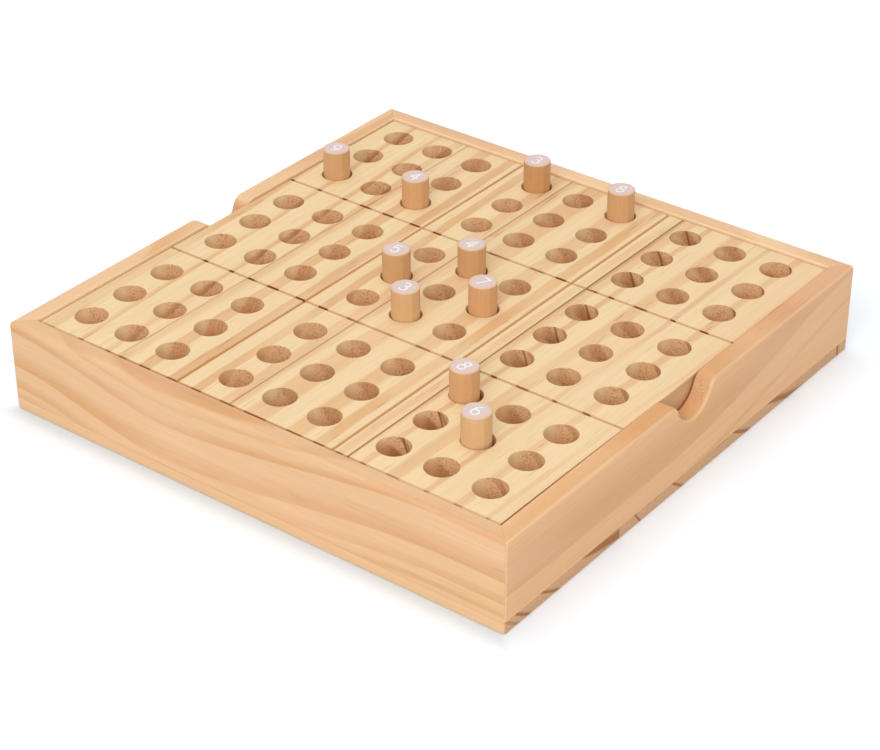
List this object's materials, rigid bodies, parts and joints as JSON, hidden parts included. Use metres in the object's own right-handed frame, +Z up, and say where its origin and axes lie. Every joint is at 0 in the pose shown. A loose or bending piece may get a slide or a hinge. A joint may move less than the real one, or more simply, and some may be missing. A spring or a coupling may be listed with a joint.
{
  "type": "peg sudoku board game",
  "caption": "Shallow wooden game box closed by a lift-out board with a nine by nine grid of blind peg holes, with number pegs.",
  "frame": {"origin": "middle of the underside of the box, on the table", "axes": "+Z up; +X to the right along the front wall, and +Y from the front wall to the back, so the numbers read upright with +Y as up; the finger notches are in the walls at -X and +X"},
  "size_m": [0.2, 0.2, 0.0429],
  "materials": {
    "wall_pine": "sanded, clear satin varnish",
    "base_pine": "sanded, clear satin varnish",
    "block_pine": "sawn and sanded",
    "board_pine": "sanded, clear satin varnish",
    "peg_beech": "sanded dowel with a painted end"
  },
  "bodies": {
    "box": {"front_wall": "wall_pine", "back_wall": "wall_pine", "left_wall": "wall_pine", "right_wall": "wall_pine", "base_stave_1": "base_pine", "base_stave_2": "base_pine", "base_stave_3": "base_pine", "base_stave_4": "base_pine", "corner_block_front_left": "block_pine", "corner_block_front_right": "block_pine", "corner_block_back_left": "block_pine", "corner_block_back_right": "block_pine", "spare_pegs_1": "peg_beech", "spare_pegs_2": "peg_beech", "spare_pegs_3": "peg_beech", "spare_pegs_4": "peg_beech", "spare_pegs_5": "peg_beech", "spare_pegs_6": "peg_beech", "spare_pegs_7": "peg_beech", "spare_pegs_8": "peg_beech", "spare_pegs_9": "peg_beech"},
    "board": {"board_stave_1": "board_pine", "board_stave_2": "board_pine", "board_stave_3": "board_pine", "board_stave_4": "board_pine", "backing_board": "board_pine"},
    "peg_9_c1_r7": {"peg_9_column_1_row_7": "peg_beech"},
    "peg_4_c3_r7": {"peg_4_column_3_row_7": "peg_beech"},
    "peg_3_c4_r9": {"peg_3_column_4_row_9": "peg_beech"},
    "peg_8_c6_r9": {"peg_8_column_6_row_9": "peg_beech"},
    "peg_4_c5_r6": {"peg_4_column_5_row_6": "peg_beech"},
    "peg_5_c4_r5": {"peg_5_column_4_row_5": "peg_beech"},
    "peg_7_c6_r5": {"peg_7_column_6_row_5": "peg_beech"},
    "peg_3_c5_r4": {"peg_3_column_5_row_4": "peg_beech"},
    "peg_8_c7_r3": {"peg_8_column_7_row_3": "peg_beech"},
    "peg_6_c8_r2": {"peg_6_column_8_row_2": "peg_beech"}
  },
  "joints": [
    {"name": "board_lift", "type": "slide", "parent": "box", "child": "board", "axis": [0, 0, 1], "range_m": [0, 0.06]},
    {"name": "peg_9_c1_r7_lift", "type": "slide", "parent": "board", "child": "peg_9_c1_r7", "axis": [0, 0, 1], "range_m": [0, 0.03]},
    {"name": "peg_4_c3_r7_lift", "type": "slide", "parent": "board", "child": "peg_4_c3_r7", "axis": [0, 0, 1], "range_m": [0, 0.03]},
    {"name": "peg_3_c4_r9_lift", "type": "slide", "parent": "board", "child": "peg_3_c4_r9", "axis": [0, 0, 1], "range_m": [0, 0.03]},
    {"name": "peg_8_c6_r9_lift", "type": "slide", "parent": "board", "child": "peg_8_c6_r9", "axis": [0, 0, 1], "range_m": [0, 0.03]},
    {"name": "peg_4_c5_r6_lift", "type": "slide", "parent": "board", "child": "peg_4_c5_r6", "axis": [0, 0, 1], "range_m": [0, 0.03]},
    {"name": "peg_5_c4_r5_lift", "type": "slide", "parent": "board", "child": "peg_5_c4_r5", "axis": [0, 0, 1], "range_m": [0, 0.03]},
    {"name": "peg_7_c6_r5_lift", "type": "slide", "parent": "board", "child": "peg_7_c6_r5", "axis": [0, 0, 1], "range_m": [0, 0.03]},
    {"name": "peg_3_c5_r4_lift", "type": "slide", "parent": "board", "child": "peg_3_c5_r4", "axis": [0, 0, 1], "range_m": [0, 0.03]},
    {"name": "peg_8_c7_r3_lift", "type": "slide", "parent": "board", "child": "peg_8_c7_r3", "axis": [0, 0, 1], "range_m": [0, 0.03]},
    {"name": "peg_6_c8_r2_lift", "type": "slide", "parent": "board", "child": "peg_6_c8_r2", "axis": [0, 0, 1], "range_m": [0, 0.03]}
  ]
}
